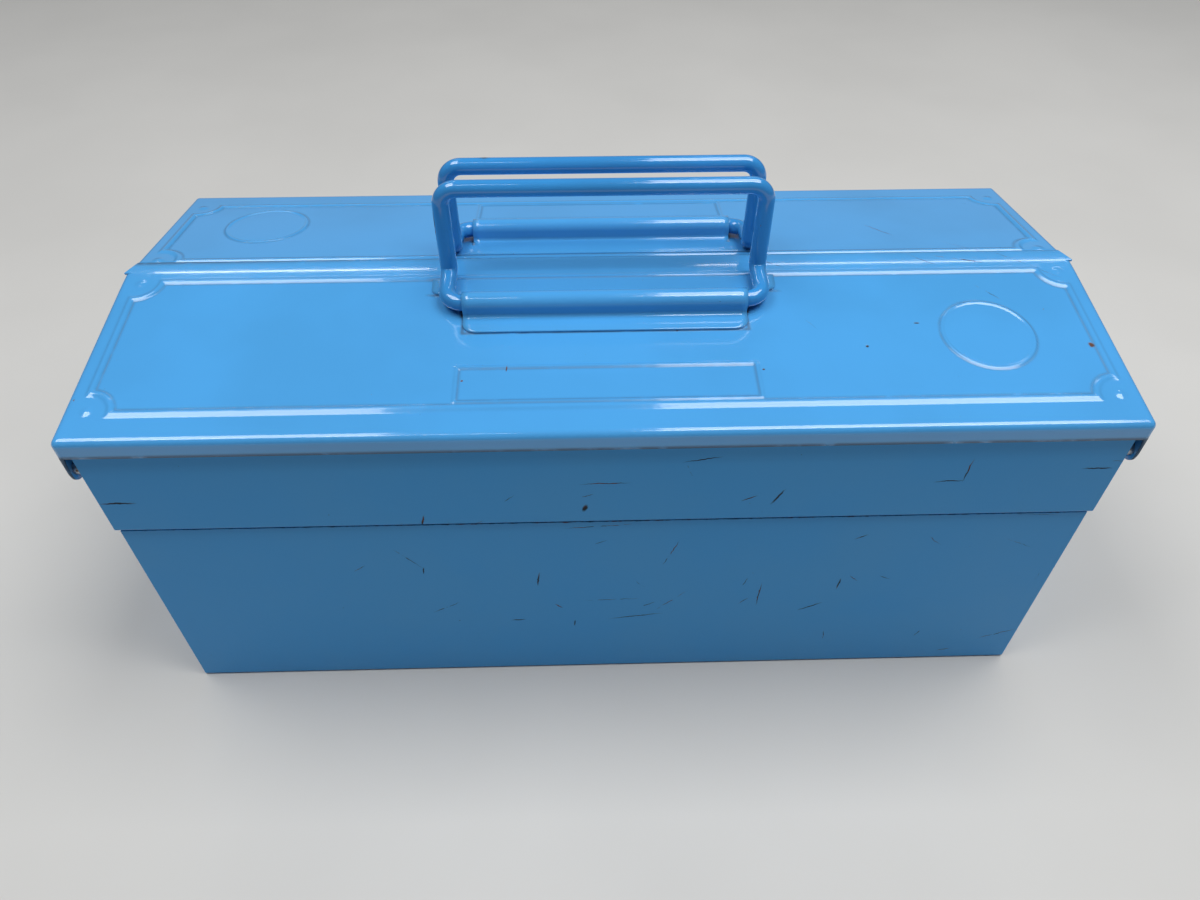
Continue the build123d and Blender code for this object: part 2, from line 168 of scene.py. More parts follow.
class ToolboxStage(bpy.types.PropertyGroup):
    lens: bpy.props.FloatProperty(
        name="Lens", description="Focal length over a 36 mm wide sensor", default=26.19, unit="CAMERA"
    )
    camera_place: bpy.props.FloatVectorProperty(
        name="Camera place",
        description="Where the picture is taken from",
        default=(-0.00882, -0.28194, 0.33846),
        subtype="TRANSLATION",
        precision=5,
    )
    camera_turn: bpy.props.FloatVectorProperty(
        name="Camera turn",
        description="How the camera is turned",
        default=(0.7875, -0.0006, -0.0265),
        subtype="EULER",
    )
    sky: bpy.props.FloatProperty(name="Sky", description="Strength of the even light", default=0.12)
    backdrop: bpy.props.FloatProperty(
        name="Backdrop", description="How bright the background looks behind the floor", default=0.5
    )
    left_panel: bpy.props.FloatProperty(
        name="Left panel", description="Left ceiling panel", default=9.7, unit="POWER"
    )
    right_panel: bpy.props.FloatProperty(
        name="Right panel", description="Right ceiling panel", default=13.8, unit="POWER"
    )
    tubes: bpy.props.FloatProperty(
        name="Tubes",
        description="Thin lamps behind that draw the ridge's streaks",
        default=1.1,
        unit="POWER",
    )
    lines: bpy.props.FloatProperty(
        name="Lines",
        description="Power per metre of the thin lamps that draw the outer bend's streak",
        default=1.7,
    )
    rear_wall: bpy.props.FloatProperty(
        name="Rear wall", description="Dim panel that the rear lid mirrors", default=1.0, unit="POWER"
    )


def surface(name, points, wrap_rows=False, wrap_columns=False, keep=None):
    """Mesh over a grid of points, rows by columns, in metres. A cell's face looks along the row
    direction crossed with the column direction. keep says which cells get a face."""
    rows, columns = points.shape[:2]
    index = np.arange(rows * columns).reshape(rows, columns)
    if wrap_rows:
        index = np.vstack([index, index[:1]])
    if wrap_columns:
        index = np.hstack([index, index[:, :1]])
    cells = np.stack([index[:-1, :-1], index[1:, :-1], index[1:, 1:], index[:-1, 1:]], axis=-1)
    faces = cells.reshape(-1, 4) if keep is None else cells[keep]
    mesh = bpy.data.meshes.new(name)
    mesh.from_pydata(points.reshape(-1, 3).tolist(), [], faces.tolist())
    mesh.polygons.foreach_set("use_smooth", np.ones(len(faces), dtype=bool))
    mesh.update()
    piece = bpy.data.objects.new(name, mesh)
    bpy.context.scene.collection.objects.link(piece)
    return piece


def thicken(piece, thickness, inside=0):
    """Gives a skin its sheet thickness, inwards from the face that shows. inside is how many material
    slots further on the inner face's finish is."""
    solid = piece.modifiers.new("sheet", "SOLIDIFY")
    solid.material_offset = inside
    solid.thickness = thickness
    solid.offset = -1
    solid.use_even_offset = True


def samples(stops, fine, coarse):
    """Places along a line: (start, end, is_fine) stretches, each cut into equal steps of about the
    fine or the coarse length."""
    runs = [
        np.linspace(start, end, max(int(math.ceil((end - start) / (fine if is_fine else coarse))), 1) + 1)
        for start, end, is_fine in stops
    ]
    return np.unique(np.round(np.concatenate(runs), 7))


def over_edge(places, low_edge, high_edge):
    """Grid lines that run on past an edge: place, side and travel. Travel is 0 on the plate, goes to 1
    round the bend and to 2 down the skirt. An edge given as False isn't folded."""
    travel = np.concatenate([np.linspace(0, 1, 9)[1:], np.linspace(1, 2, 7)[1:]])
    parts = [(places, np.zeros(len(places)), np.zeros(len(places)))]
    if low_edge:
        parts.insert(0, (np.full(len(travel), places[0]), -np.ones(len(travel)), travel[::-1]))
    if high_edge:
        parts.append((np.full(len(travel), places[-1]), np.ones(len(travel)), travel))
    return [np.concatenate(column) for column in zip(*parts)]


def bead(distance, half_width, height):
    """Rounded bead: half a cosine wave across its width, highest where the distance is zero."""
    reach = np.clip(np.abs(distance) / half_width, 0, 1)
    return height * (1 + np.cos(math.pi * reach)) / 2


def box_distance(x, y, half_x, half_y):
    """Signed distance from a rectangle about the origin, negative inside."""
    dx = np.abs(x) - half_x
    dy = np.abs(y) - half_y
    outside = np.hypot(np.maximum(dx, 0), np.maximum(dy, 0))
    return outside + np.minimum(np.maximum(dx, dy), 0)


def pressing(size, u, q, inner_edge, ring_u, ring_q):
    """Height of the pressed pattern over the slope, u along the lid and q out from the middle: a
    border bead round a rectangle whose corners are cut by discs, a boss outside each cut, a thin
    rectangle for a label, and a plain ring round a slightly raised disc. Also gives how near each
    point is to the foot of a bead, 0 to 1, where shade is painted in the crease."""
    rib_inner = inner_edge + size.rib_inner
    middle = (size.rib_outer + rib_inner) / 2
    half = (size.rib_outer - rib_inner) / 2
    to_corner = np.hypot(np.abs(u) - size.rib_side, np.abs(q - middle) - half)
    border = np.maximum(box_distance(u, q - middle, size.rib_side, half), size.notch - to_corner)
    label_middle = (size.frame_inner + size.frame_outer) / 2
    label_half = (size.frame_outer - size.frame_inner) / 2
    label = box_distance(u, q - label_middle, size.frame_half, label_half)
    to_ring = np.hypot(u - ring_u, q - ring_q)
    boss_inset = size.notch * 0.12
    to_boss = np.hypot(np.abs(u) - size.rib_side + boss_inset, np.abs(q - middle) - half + boss_inset)
    height = bead(border, size.rib_width, size.rib_height)
    height = height + bead(to_boss, size.boss, 0.6 * size.rib_height)
    height = np.maximum(height, bead(label, 0.6 * size.rib_width, 0.9 * size.rib_height))
    height = height + bead(to_ring - size.ring, 0.5 * size.rib_width, 0.8 * size.rib_height)
    # painted shade: the feet of the border bead, the label frame and the ring are darkened
    feet = np.minimum(np.abs(border + 0.9 * size.rib_width), np.abs(label + 0.5 * size.rib_width))
    feet = np.minimum(feet, np.abs(to_ring - size.ring - 0.5 * size.rib_width))
    crease_shade = 1 - np.clip(feet / (0.7 * MM), 0, 1)
    return height + 0.25 * size.rib_height * np.clip((size.ring - to_ring) / size.rib_width, 0, 1), crease_shade


def ear_edge(q, half, edge_z, size):
    """Lower edge of an end skirt: the straight edge, or below it the lowest point of the circles that
    run from a small one at the edge, over the link's rivet, to the hinge rivet."""
    hinge = JOINTS[f"{half}_lid_turn"]["pos_m"]
    crank = JOINTS[f"{half}_link_turn"]["pos_m"]
    pivot = JOINTS[f"{half}_tray_level"]["pos_m"]
    hinge_q = abs(hinge[1])
    pin_q = hinge_q + abs(crank[1]) - abs(pivot[1])
    pin_z = hinge[2] + crank[2] - pivot[2]
    stations = np.array([
        (pin_q - 8 * MM, edge_z + size.sheet, size.sheet),
        (pin_q, pin_z, size.ear_pin),
        (hinge_q, hinge[2], size.ear_hinge),
    ])
    along = np.linspace(0, 2, 161)[:, None]
    centre_q, centre_z, radius = (np.interp(along, [0, 1, 2], column) for column in stations.T)
    squeeze = np.where(q > hinge_q, 4.6 / 5.1, 1.0)
    across = (q - centre_q) / squeeze
    inside = radius**2 - across**2
    low = np.where(inside > 0, centre_z - np.sqrt(np.maximum(inside, 0)), edge_z)
    return np.minimum(low.min(axis=0), edge_z)


def lid_skin(half, out, size):
    """Grid of a lid's outer skin. On the plate the height is the slope's line plus the pressing. Past
    an edge the skin turns about the bend radius and drops to the skirt's edge; at a corner the
    direction of the fold sweeps from one side to the other, which rounds the upright corner."""
    front = half == "front"
    pitch = math.atan2(size.rise, LID_OUTER + size.ridge_shift)
    bend_z = RIDGE_Z - size.rise
    edge_z = bend_z - size.skirt
    inner = -FRONT_SEAM if front else REAR_SEAM + size.bend * (1 + math.sin(pitch))
    inner_edge = 0.0 if front else REAR_SEAM
    outer = LID_OUTER - size.bend * (1 - math.sin(pitch))
    end = LID_END - size.bend
    ring_u = size.front_ring_side if front else size.rear_ring_side
    ring_q = size.front_ring_out if front else size.rear_ring_out
    reach = size.ring + 2 * size.rib_width
    corner_zone = 17 * MM
    frame_zone = 3 * MM
    u_places = samples([
        (-end, -end + corner_zone, True),
        (-end + corner_zone, -size.frame_half - frame_zone, False),
        (-size.frame_half - frame_zone, -size.frame_half + frame_zone, True),
        (-size.frame_half + frame_zone, size.frame_half - frame_zone, False),
        (size.frame_half - frame_zone, size.frame_half + frame_zone, True),
        (size.frame_half + frame_zone, ring_u - reach, False),
        (ring_u - reach, end, True),
    ], size.fine_step, size.coarse_step)
    q_places = samples([(inner, outer, True)], size.fine_step, size.coarse_step)
    strip = -size.ridge_shift
    if front:
        q_places = np.unique(np.append(q_places, [strip - 0.01 * MM, strip]))
    u, side_u, travel_u = over_edge(u_places, True, True)
    q, side_q, travel_q = over_edge(q_places, not front, True)
    u, q = u[None, :], q[:, None]
    over = np.maximum(travel_u[None, :], travel_q[:, None])
    small = np.minimum(travel_u[None, :], travel_q[:, None])
    share = 0.5 * small / np.maximum(over, 1e-9)
    sweep = np.where(travel_u[None, :] >= travel_q[:, None], share, 1 - share)
    sweep = np.where(over > 0, sweep, 0)
    rising = np.where(side_q[:, None] < 0, -pitch, pitch) * sweep
    turn = rising + (math.pi / 2 - rising) * np.clip(over, 0, 1)
    out_by = size.bend * (np.sin(turn) - np.sin(rising))
    down_by = size.bend * (np.cos(rising) - np.cos(turn))
    slope = bend_z + (LID_OUTER - q) * math.tan(pitch)
    if front:
        soft = size.ridge_softness
        slope = RIDGE_Z - soft * np.logaddexp(0, (RIDGE_Z - slope) / soft) + soft * 0.02
        slope = np.where(q > strip + 30 * soft, bend_z + (LID_OUTER - q) * math.tan(pitch), slope)
    pressed, crease_shade = pressing(size, u, q, inner_edge, ring_u, ring_q)
    top = slope + pressed * (over == 0)
    side_low = edge_z if front else np.where(side_q[:, None] < 0, slope - size.seam_fold, edge_z)
    end_low = ear_edge(q.ravel(), half, edge_z, size)[:, None]
    low = end_low + (side_low - end_low) * sweep
    bent = top - down_by
    z = bent + (low - bent) * np.clip(over - 1, 0, 1)
    x = u + side_u[None, :] * out_by * np.cos(sweep * math.pi / 2)
    y = q + side_q[:, None] * out_by * np.sin(sweep * math.pi / 2)
    keep = np.ones((len(q) - 1, u.shape[1] - 1), dtype=bool)
    if front:
        flat = q < strip - 0.005 * MM
        limit = LID_END - size.flange_bevel * (strip - q) / (FRONT_SEAM - size.ridge_shift)
        x = np.where(flat, x * limit / LID_END, x)
        z = np.where(flat, slope, z)
        row = int(np.argmin(np.abs(q_places - strip)))
        folded = (travel_u > 0)[:-1] | (travel_u > 0)[1:]
        keep[row - 1, folded] = False
        keep[:row, :] &= ~((travel_u > 1)[:-1] | (travel_u > 1)[1:])[None, :]
    x, y, z, u, q, crease_shade = np.broadcast_arrays(x, y, z, u, q, crease_shade * (over == 0))
    return np.stack([-out * x, out * y, z], axis=-1), keep, u, q, crease_shade


def lid_grime_and_shade(half, out, u, q, z, size, clip):
    """How dark each point of a lid is made, 0 to 1, by dirt and by painted shade: painted shade along the
    outline of the handle's clip and on the strip under its arch, dirt along the seam at the ridge, more
    towards the left end, a painted shadow line on the lower edge of the outer skirt, and painted shade
    over the outer skirt's face."""
    pitch = math.atan2(size.rise, LID_OUTER + size.ridge_shift)
    bar = JOINTS[f"{half}_handle_fold"]["pos_m"]
    bar_q = abs(bar[1]) - (clip.arch + clip.sheet) * math.sin(pitch)
    up_slope = (bar_q - q) / math.cos(pitch)
    flange_middle = (clip.wing_start - clip.outer_reach) / 2
    flange_half = (clip.wing_start + clip.outer_reach) / 2
    flange = box_distance(u, up_slope - flange_middle, clip.arch_half, flange_half)
    wing_middle = (clip.wing_start + clip.inner_reach) / 2
    wing_deep = (clip.inner_reach - clip.wing_start) / 2
    wing = box_distance(u, up_slope - wing_middle, clip.wing_half, wing_deep)
    # painted shade: a dark line round the clip's outline, where it lies on the lid
    clip_outline_shade = 1 - np.clip(np.abs(np.minimum(flange, wing)) / (0.9 * MM), 0, 1)
    # painted shade on the strip of lid under the clip's arch
    under_arch_shade = box_distance(u, up_slope, clip.arch_half + 1.5 * MM, clip.arch - 0.3 * MM)
    under_arch_shade = np.clip(-under_arch_shade / (0.8 * MM), 0, 1)
    edge = -FRONT_SEAM if half == "front" else REAR_SEAM
    seam = 1 - np.clip(np.abs(q - edge) / (2.5 * MM), 0, 1)
    left = np.clip((0.02 - -out * u) / 0.2, 0.25, 1)
    low_edge = RIDGE_Z - size.rise - size.skirt
    # painted shadow: a dark line along the outer skirt's lower edge, where the gap to the tray wall is in
    # shade
    skirt = np.clip((low_edge + 1.2 * MM - z) / (0.6 * MM), 0, 1) * (q > LID_OUTER - 2 * size.bend)
    # painted shade: the outer skirt's face below the bend is made darker
    skirt_face_shade = 0.38 * (z < RIDGE_Z - size.rise - size.bend) * (q > LID_OUTER - 0.2 * MM)
    return np.clip(0.8 * clip_outline_shade + under_arch_shade + 0.8 * seam * left + 0.8 * skirt + skirt_face_shade, 0, 1)


def bent_path(start, axes, moves, step):
    """Points, frames and distances along a line of straights and arcs. A move is (length, turn, axis):
    the frame (forward, side, up) turns evenly about its own axis over that length. An arc of radius R
    carries the point R sin(angle) ahead and R (1 - cos(angle)) sideways."""
    points, frames, distances = [start[None]], [axes[None]], [np.zeros(1)]
    travelled = 0.0
    for run, turn, axis in moves:
        count = max(int(math.ceil(abs(turn) / step)), 1)
        part = np.arange(1, count + 1) / count
        angle = part * turn
        base = frames[-1][-1]
        sine = np.where(turn, np.sin(angle), 0)[:, None, None]
        cosine = np.cos(angle)[:, None, None]
        spin = base[axis]
        cross = np.cross(spin, base)
        along = spin[None, :] * (base @ spin)[:, None]
        turned = base * cosine + cross * sine + along * (1 - cosine)
        ahead = run * (np.sin(angle) / turn if turn else part)
        aside = run * ((1 - np.cos(angle)) / turn if turn else 0 * part)
        sideways = np.cross(spin, base[0])
        points.append(points[-1][-1] + ahead[:, None] * base[0] + aside[:, None] * sideways)
        frames.append(turned)
        distances.append(travelled + part * run)
        travelled += run
    return np.concatenate(points), np.concatenate(frames), np.concatenate(distances)


def slope_axes(out, size):
    """Along the lid, up its slope and out of its skin, for one half."""
    pitch = math.atan2(size.rise, LID_OUTER + size.ridge_shift)
    return np.array([
        (-out, 0, 0),
        (0, -out * math.cos(pitch), math.sin(pitch)),
        (0, out * math.sin(pitch), math.cos(pitch)),
    ], dtype=float), pitch


def rod_loop(half, out, handle, lid):
    """Closed tube: a circle carried round the handle's centre line, a little wider at each kink."""
    axes, pitch = slope_axes(out, lid)
    quarter = math.pi / 2
    kink_turn = quarter - pitch
    tangent = handle.kink * math.tan(kink_turn / 2)
    corner = (handle.corner * quarter, quarter, 2)
    kink = (handle.kink * kink_turn, -kink_turn, 1)
    half_bar = (handle.width / 2 - handle.corner, 0, 0)
    foot = (handle.foot - handle.corner - tangent, 0, 0)
    upright = (handle.rise - handle.corner - tangent, 0, 0)
    grip = (handle.width - 2 * handle.corner, 0, 0)
    moves = [half_bar, corner, foot, kink, upright, corner, grip]
    moves += [corner, upright, kink, foot, corner, half_bar]
    start = np.array(JOINTS[f"{half}_handle_fold"]["pos_m"], dtype=float)
    centre, frames, along = bent_path(start, axes, moves, math.radians(6))
    ends = np.cumsum([move[0] for move in moves])
    swell = sum(np.exp(-(((along - ends[i]) / (1.3 * handle.rod)) ** 2)) for i in (3, 8))
    wide = handle.rod * (1 + handle.swell * swell)
    deep = handle.rod * (1 - 0.6 * handle.swell * swell)
    around = np.linspace(2 * math.pi, 0, 33)[:-1]
    sideways = wide[:, None, None] * np.cos(around)[None, :, None] * frames[:, 1][:, None, :]
    upwards = deep[:, None, None] * np.sin(around)[None, :, None] * frames[:, 2][:, None, :]
    ring = centre[:, None, :] + sideways + upwards
    return ring[:-1]


def clip_skin(half, out, clip, handle, lid):
    """Grid of the clip's outer face: its section up the slope is carried along the lid, with a half
    length that steps from wing to arch and is rounded at the corners."""
    axes, _ = slope_axes(out, lid)
    bar = np.array(JOINTS[f"{half}_handle_fold"]["pos_m"], dtype=float)
    quarter = math.pi / 2
    bar_height = handle.rod + clip.sheet + clip.rod_gap
    wall = bar_height - clip.sheet - clip.root
    root = (clip.root * quarter, -quarter, 2)
    arch = (clip.arch * 2 * quarter, 2 * quarter, 2)
    inner_run = clip.inner_reach - clip.arch - clip.root
    outer_run = clip.outer_reach - clip.arch - clip.root
    start = np.array((clip.inner_reach, clip.sheet, 0.0))
    flat = np.array([(-1.0, 0, 0), (0, -1.0, 0), (0, 0, 1.0)])
    moves = [(inner_run / 12, 0, 0)] * 12 + [root, (wall, 0, 0), arch, (wall, 0, 0), root]
    moves += [(outer_run / 12, 0, 0)] * 12
    line, _, _ = bent_path(start, flat, moves, math.radians(10))
    up_slope, height = line[:, 0], line[:, 1]
    step = 0.01 * MM
    cut = int(np.argmin(np.abs(up_slope - clip.wing_start)))
    up_slope = np.insert(up_slope, cut, clip.wing_start + step)
    height = np.insert(height, cut, clip.sheet)
    up_slope[cut + 1] = clip.wing_start
    to_end = up_slope + clip.outer_reach
    inset = clip.corner - np.sqrt(np.maximum(clip.corner**2 - (clip.corner - to_end) ** 2, 0))
    half_length = np.where(to_end < clip.corner, clip.arch_half - inset, clip.arch_half)
    from_wing = up_slope - clip.wing_start
    rounded = np.maximum(clip.wing_round**2 - (clip.wing_round - from_wing) ** 2, 0)
    wing = clip.wing_half - np.where(from_wing < clip.wing_round, clip.wing_round - np.sqrt(rounded), 0)
    half_length = np.where(up_slope > clip.wing_start + step / 2, wing, half_length)
    across = np.linspace(-1, 1, 41)
    u = half_length[:, None] * across[None, :]
    base = bar - bar_height * axes[2]
    return (
        base
        + u[..., None] * axes[0]
        + up_slope[:, None, None] * axes[1]
        + height[:, None, None] * axes[2]
    )


def node(tree, kind, *values, out=0, inputs=(), **settings):
    """Adds a shader node and gives back one of its outputs. values go to its first inputs and inputs
    holds further ones by number or name: a socket is linked, anything else is set. settings are the
    node's own properties."""
    made = tree.nodes.new("ShaderNode" + kind)
    for name, value in settings.items():
        setattr(made, name, value)
    for key, value in [*enumerate(values), *dict(inputs).items()]:
        if isinstance(value, bpy.types.NodeSocket):
            tree.links.new(value, made.inputs[key])
        else:
            made.inputs[key].default_value = value
    return made.outputs[out]


def material(name):
    """A new node material: itself, its shader, its Object coordinates and a function that adds a node."""
    made = bpy.data.materials.new(name)
    made.use_nodes = True
    add = functools.partial(node, made.node_tree)
    return made, made.node_tree.nodes["Principled BSDF"], add("TexCoord", out="Object"), add


def connect(shader, **sockets):
    """Joins sockets to the shader's inputs; an underscore stands for a space."""
    for name, socket in sockets.items():
        shader.id_data.links.new(socket, shader.inputs[name.replace("_", " ")])


def rgba(values):
    """Four numbers for a colour socket."""
    return (*values[:3], 1)


def patches(add, place, size_mm, low, high, detail=3):
    """Soft-edged patches about size_mm across: noise that counts 0 below low and 1 above high."""
    cloud = add("TexNoise", place, inputs={"Scale": 1 / (size_mm * MM), "Detail": detail})
    return add("MapRange", cloud, low, high, 0, 1, interpolation_type="SMOOTHSTEP")


def strokes(add, flat, cell_mm, long_mm, thin_mm, spread, share):
    """Scratches: a thin ellipse of half sizes long_mm and thin_mm round the point of some cells of a
    Voronoi pattern, turned by a random angle within spread half turns. share is how many cells have one."""
    pattern = add("TexVoronoi", flat, inputs={"Scale": 1 / (cell_mm * MM)}, voronoi_dimensions="2D")
    cells = pattern.node.outputs
    chance = add("SeparateColor", cells["Color"]).node.outputs
    away = add("VectorMath", flat, cells["Position"], operation="SUBTRACT")
    angle = add("MapRange", chance["Red"], 0, 1, -spread * math.pi, spread * math.pi)
    turned = add("VectorRotate", away, inputs={"Angle": angle}, rotation_type="Z_AXIS")
    unit = add("VectorMath", turned, (long_mm * MM, thin_mm * MM, 1), operation="DIVIDE")
    reach = add("VectorMath", unit, out="Value", operation="LENGTH")
    inside = add("MapRange", reach, 0.6, 1, 1, 0)
    chosen = add("Math", chance["Green"], share, operation="LESS_THAN")
    return add("Math", inside, chosen, operation="MULTIPLY")


def placed_marks(add, place, marks):
    """Marks at chosen places. Each is (x, y, z, lean, long, deep, high), in mm and degrees: an
    ellipsoid of those sizes that leans up from level as seen from the front."""
    found = 0.0
    for x, y, z, lean, *sizes in marks:
        half_sizes = tuple(size * MM / 2 for size in sizes)
        turn = (0, -math.radians(lean), 0)
        centre = (x * MM, y * MM, z * MM)
        unit = add("Mapping", place, centre, turn, half_sizes, vector_type="TEXTURE")
        reach = add("VectorMath", unit, out="Value", operation="LENGTH")
        found = add("Math", found, add("MapRange", reach, 0.55, 1, 1, 0), operation="MAXIMUM")
    return found


# Three kinds of scratch: size of a cell, half length and half width in millimetres, how far they turn
# in half turns, and the share of cells that have one on a fully scratched piece
SCRATCHES = (
    (31, 9, 0.22, 1.0, 0.5),
    (13, 3.2, 0.2, 1.0, 0.4),
    (47, 14, 0.2, 0.05, 0.5),
)


def enamel(name, base, worn, colours, shine, scratched, chipped, grimed_and_shaded=False, marks=()):
    """Baked gloss enamel on steel sheet: sprayed, so it has a slight orange peel about 2 mm across,
    and a hard clear top that gives sharp reflections. Handling dulls it in clouds, drags dark scratches
    through it and knocks out small chips that rust. shine is the strength of the clear top, scratched
    and chipped how much of each it has, and marks are single ones, some of them painted shade. Where
    the flag for it is set, a piece has an attribute that says where dirt and painted shade lie."""
    made, shader, place, add = material(name)
    tone = add(
        "Mix",
        patches(add, place, 55, 0.35, 0.7),
        inputs={6: rgba(base), 7: rgba(worn)},
        out=2,
        data_type="RGBA",
    )
    shake = add("TexNoise", place, inputs={"Scale": 1 / (2.5 * MM), "Detail": 2}, out="Color")
    ragged = add("VectorMath", shake, (1.1 * MM, 0, 1.1 * MM), place, operation="MULTIPLY_ADD")
    across = add("VectorMath", ragged, (1, 1, 0), out="Value", operation="DOT_PRODUCT")
    up = add("VectorMath", ragged, (0, 0.6, 1), out="Value", operation="DOT_PRODUCT")
    flat = add("CombineXYZ", across, up)
    damage_and_shade = 0.0
    for *shape, share in SCRATCHES:
        more = strokes(add, flat, *shape, share * scratched)
        damage_and_shade = add("Math", damage_and_shade, more, operation="MAXIMUM")
    broken = patches(add, place, 4, 0.38, 0.52)
    damage_and_shade = add("Math", damage_and_shade, broken, operation="MULTIPLY")
    damage_and_shade = add("Math", damage_and_shade, patches(add, place, 60, 0.46, 0.56, 1), operation="MULTIPLY")
    specks = patches(add, place, 2.2, 0.76 - chipped, 0.79 - chipped)
    specks = add("Math", specks, patches(add, place, 27, 0.5, 0.62, 1), operation="MULTIPLY")
    damage_and_shade = add("Math", damage_and_shade, specks, operation="MAXIMUM")
    # placed marks join in here; some of them are painted shade in the bare steel's colours
    damage_and_shade = add("Math", damage_and_shade, placed_marks(add, ragged, marks), operation="MAXIMUM")
    bare_steel_and_shade = add(
        "Mix",
        patches(add, place, 9, 0.48, 0.62, 2),
        inputs={6: rgba(colours.primer), 7: rgba(colours.rust)},
        out=2,
        data_type="RGBA",
    )
    paint = add("Mix", damage_and_shade, inputs={6: tone, 7: bare_steel_and_shade}, out=2, data_type="RGBA")
    if grimed_and_shaded:
        # the lid's attribute holds dirt and painted shade; both take the brown colour below
        grime_and_shade = add("Attribute", out="Fac", attribute_name="grime_and_shade")
        grime_and_shade = add("Math", grime_and_shade, patches(add, place, 7, 0.2, 0.5), operation="MULTIPLY")
        paint = add("Mix", grime_and_shade, inputs={6: paint, 7: rgba(colours.grime_and_shade)}, out=2, data_type="RGBA")
        damage_and_shade = add("Math", damage_and_shade, grime_and_shade, operation="MAXIMUM")
    peel = add("TexNoise", place, inputs={"Scale": 1 / (2.2 * MM), "Detail": 1})
    skin = add("Bump", inputs={"Strength": 0.12, "Distance": 0.2 * MM, "Height": peel}, out="Normal")
    dent = add(
        "Bump",
        inputs={"Strength": 0.4, "Distance": 0.2 * MM, "Height": damage_and_shade, "Normal": skin},
        invert=True,
    )
    connect(
        shader,
        Base_Color=paint,
        Roughness=add("MapRange", damage_and_shade, 0, 1, 0.3 - 0.2 * shine, 0.75),
        Coat_Weight=add("MapRange", damage_and_shade, 0, 1, shine, 0),
        Normal=dent,
    )
    shader.inputs["Coat Roughness"].default_value = 0.05
    shader.inputs["Specular IOR Level"].default_value = 0.15 + 0.3 * shine
    return made


def zinc_plate(colours):
    """Zinc-plated steel rivets: cold-headed, then plated. Bright once, now a dull grey with darker
    freckles where the plating has gone."""
    made, shader, place, add = material("dulled_zinc_plate")
    freckles = patches(add, place, 1.6, 0.5, 0.68)
    tone = {6: rgba(colours.zinc), 7: rgba(colours.rust)}
    grain = add("TexNoise", place, inputs={"Scale": 1 / (0.9 * MM), "Detail": 2})
    connect(
        shader,
        Base_Color=add("Mix", freckles, inputs=tone, out=2, data_type="RGBA"),
        Roughness=add("MapRange", freckles, 0, 1, 0.32, 0.6),
        Normal=add("Bump", inputs={"Strength": 0.2, "Distance": 0.1 * MM, "Height": grain}),
    )
    shader.inputs["Metallic"].default_value = 1.0
    return made


# Single marks, some of them painted shade: place, lean in degrees, then length, depth and height, in
# millimetres. The base's front wall is at y = -76.5 and the front tray's at y = -77.5.
WALL_MARKS_AND_SEAM_SHADE = (
    (-26.5, -76.7, 64, 82, 10, 1.4, 0.8),
    (-19, -76.7, 46, -40, 5, 1.4, 0.7),
    (61, -76.7, 51, 88, 17, 1.4, 0.6),
    (83, -76.7, 42, 30, 12, 1.4, 0.8),
    (92, -76.7, 57, 85, 8, 1.4, 0.8),
    (12, -76.7, 38, 8, 25, 1.4, 0.7),
    (-13, -76.7, 34, 85, 5, 1.4, 0.7),
    (-36, -76.7, 37, 2, 7, 1.4, 0.8),
    (-70, -76.7, 71, 78, 5, 1.4, 0.7),
    (-66, -77.7, 101, 75, 8, 1.4, 0.9),
    (60, -77.7, 110.5, 62, 10, 1.4, 1.2),
    (-8, -77.7, 106.5, 72, 4.5, 1.4, 2.2),
    (50, -77.7, 110, 28, 7, 1.4, 0.7),
    (124, -77.7, 122, 86, 13, 1.4, 0.7),
    (119, -77.7, 117, 2, 12, 1.4, 0.7),
    (32, -77.7, 130, 10, 15, 1.4, 0.6),
    (-1, -77.7, 119, 1, 20, 1.4, 0.6),
    (-169, -77.7, 113.5, 0, 14, 1.4, 1.2),
    (169, -77.7, 122, 0, 12, 1.4, 1.0),
    # painted shade: a dark line along the seam between the front tray and the base
    (0, -77.2, 98.2, 0, 700, 3, 1.5),
)
ROD_MARKS_AND_KINK_SHADE = (
    # The first is a rust chip on the rear grip; the other three are painted shade, at the front handle's
    # two kinks and down the left side of its left upright.
    (-42, 14.2, 192.2, 0, 5, 4, 2.2),
    (57, -8, 158.5, 0, 5.5, 3, 0.9),
    (-57, -8, 158.8, 0, 4, 3, 0.6),
    (-59.4, -6, 177, 88, 18, 3, 0.6),
)
LID_MARKS = (
    (-49, -55, 147, 0, 1.2, 0.9, 8),
    (-34, -50, 147, 0, 0.7, 2.6, 8),
    (92, -42, 148, 0, 1.8, 1.4, 8),
    (112, -31, 150, 0, 2.4, 0.8, 8),
    (26, -33, 150, 0, 1.0, 0.7, 8),
    (54, -52, 147, 0, 1.2, 0.9, 8),
    (171, -43, 148, 0, 2.6, 3.0, 8),
)


def dress(names, finish):
    """Gives CAD nodes one finish."""
    for name in names:
        piece = NODES[name]
        if not piece.material_slots:
            piece.data.materials.append(finish)
        for place in piece.material_slots:
            place.material = finish


def finish_piece(piece, finish, body, slot_name, *nodes):
    """A new piece gets its finish, rides on its body and stands for its CAD nodes."""
    piece.data.materials.append(finish)
    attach(piece, body)
    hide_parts(*nodes)


